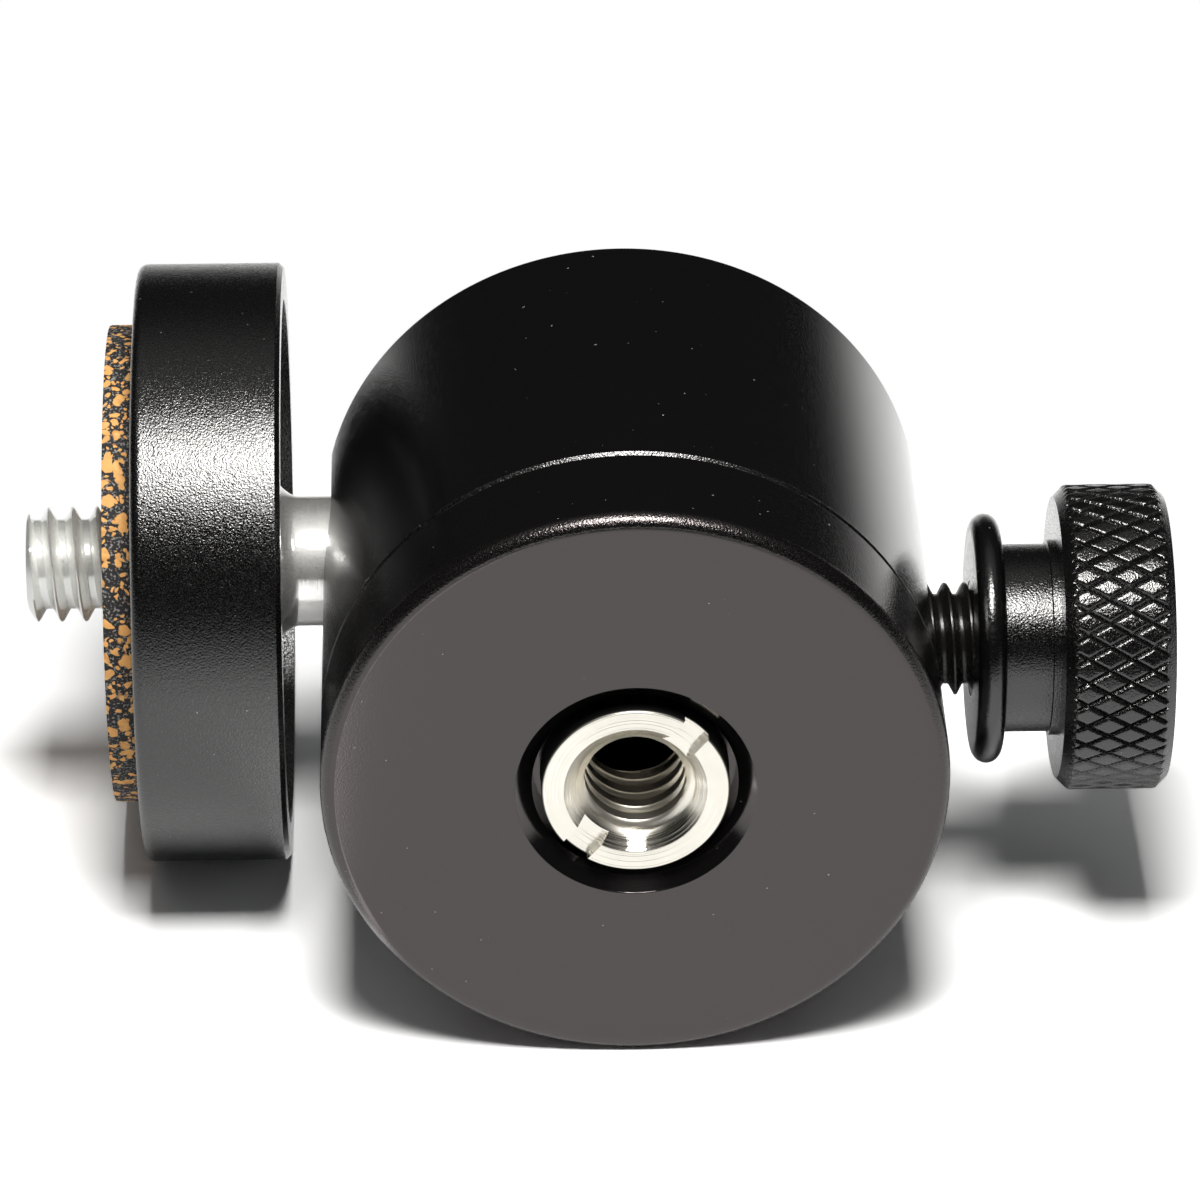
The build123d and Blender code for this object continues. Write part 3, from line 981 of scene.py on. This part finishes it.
KNOB_BLACK = finish("knob_black_anodising", anodised_look(0.07, knob_machined))
fit(knob, "clamp_knob", KNOB_BLACK, "knob")

# ---- table, light and camera ----
# The head lies on a white table on its barrel and platform, under one soft light, and the knob
# stays clear of it. The table stands upright here, because the barrel's axis does.

HEAD_MIDDLE = (0, 0, 0.012)
TABLE_SIDE = 15.75
TABLE_REACH = 4.0
PAPER_WHITE = (0.93, 0.95, 0.97, 1)
RAISED_WHITE = (2.0, 2.02, 2.06, 1)
FADE_START, FADE_END = 0.036, 0.054
# Where the table is painted brighter for reflections only: painted light behind the head and in a
# strip between barrel and platform.
BEHIND_START, BEHIND_END = 0.02, 0.06
GAP_LEFT, GAP_RIGHT = (-0.0188, -0.018), (-0.0157, -0.0152)
table_mesh = bpy.data.meshes.new("table")
corners = [(x, TABLE_SIDE * MM, z) for x, z in ((-1, -1), (1, -1), (1, 1), (-1, 1))]
corners = [(x * TABLE_REACH, y, z * TABLE_REACH) for x, y, z in corners]
table_mesh.from_pydata(corners, [], [(0, 1, 2, 3)])
table = bpy.data.objects.new("table", table_mesh)
bpy.context.scene.collection.objects.link(table)

table_paint = bpy.data.materials.new("white_table")
table_paint.use_nodes = True
tree = table_paint.node_tree
tree.nodes.clear()
place = Wire(tree).node("TexCoord", out="Object")
far = place.off_axis(HEAD_MIDDLE, (1, 0, 1)).step(FADE_START, FADE_END)
seen = place.node("LightPath", out="Is Camera Ray")
mirrored = place.node("LightPath", out="Is Glossy Ray")
# The white is raised where the camera looks at it. In reflections it is also raised behind the
# head and in a strip in the gap between the barrel and the platform. Both are painted light: no
# real table has a bright strip there, and it is staged to brighten what the stem mirrors.
painted_glow_behind = place.part(2).step(BEHIND_START, BEHIND_END)
beside = place.part(0)
gap = beside.step(*GAP_LEFT) * (1.0 - beside.step(*GAP_RIGHT))
pale = (seen + mirrored * painted_glow_behind.larger(gap)).blend(PAPER_WHITE, RAISED_WHITE)
paper = place.node("BsdfDiffuse", {}, {"Color": pale})
glow = place.node("Emission", {}, {"Color": (1, 1, 1, 1), "Strength": 1.0})
clear = place.node("BsdfTransparent")
behind = place.node("NewGeometry", out="Backfacing")
lit = place.node("MixShader", {}, {0: far * seen, 1: paper, 2: glow})
one_sided = place.node("MixShader", {}, {0: behind, 1: lit, 2: clear})
surface = tree.nodes.new("ShaderNodeOutputMaterial")
tree.links.new(one_sided.socket, surface.inputs["Surface"])
table_mesh.materials.append(table_paint)

LIGHT_DISTANCE = 0.21
LIGHT_LEAN = math.radians(20)
LIGHT_SIZE = 0.07
LIGHT_GLOW = 32.0
lamp_data = bpy.data.lights.new("soft_light", "AREA")
lamp_data.shape = "SQUARE"
lamp_data.size = LIGHT_SIZE
lamp_data.energy = LIGHT_GLOW * math.pi * LIGHT_SIZE**2
lamp_data.color = (1.0, 0.985, 0.955)
lamp = bpy.data.objects.new("soft_light", lamp_data)
bpy.context.scene.collection.objects.link(lamp)
towards = Vector((0, -math.cos(LIGHT_LEAN), -math.sin(LIGHT_LEAN)))
lamp.location = Vector(HEAD_MIDDLE) + towards * LIGHT_DISTANCE
lamp.rotation_euler = towards.to_track_quat("Z", "Y").to_euler()

ROOM_DARK, ROOM_LIGHT = (0.018, 0.018, 0.018, 1), (0.19, 0.19, 0.185, 1)
world = bpy.data.worlds.new("room")
world.use_nodes = True
bpy.context.scene.world = world
room = world.node_tree
room.nodes.clear()
start = Wire(room)
toward = start.node("TexCoord", out="Generated")
above = toward.node("VectorMath", {"operation": "DOT_PRODUCT"}, {0: toward, 1: (0, -1, 0)}, 1)
fill = above.step(0.7, 0.9).blend(ROOM_DARK, ROOM_LIGHT)
dim = start.node("Background", {}, {"Color": fill, "Strength": 1.0})
white = start.node("Background", {}, {"Color": (1, 1, 1, 1), "Strength": 1.0})
camera_ray = start.node("LightPath", out="Is Camera Ray")
sky = start.node("MixShader", {}, {0: camera_ray, 1: dim, 2: white})
ground = room.nodes.new("ShaderNodeOutputWorld")
room.links.new(sky.socket, ground.inputs["Surface"])

CAMERA_LENS = 202.4
CAMERA_PLACE = (-0.008915, -0.18047, -0.28375)
camera_data = bpy.data.cameras.new("camera")
camera_data.lens = CAMERA_LENS
camera_data.sensor_width = 36
camera_data.clip_start = 0.01
camera = bpy.data.objects.new("camera", camera_data)
bpy.context.scene.collection.objects.link(camera)
camera_forward = Vector((0.02158, 0.5123, 0.85853)).normalized()
camera_up = Vector((0.01288, -0.8588, 0.51219))
camera_right = camera_forward.cross(camera_up).normalized()
camera_up = camera_right.cross(camera_forward)
camera_axes = Matrix((camera_right, camera_up, -camera_forward)).transposed().to_4x4()
camera.matrix_world = Matrix.Translation(CAMERA_PLACE) @ camera_axes
bpy.context.scene.camera = camera
bpy.context.scene.view_settings.view_transform = "Standard"
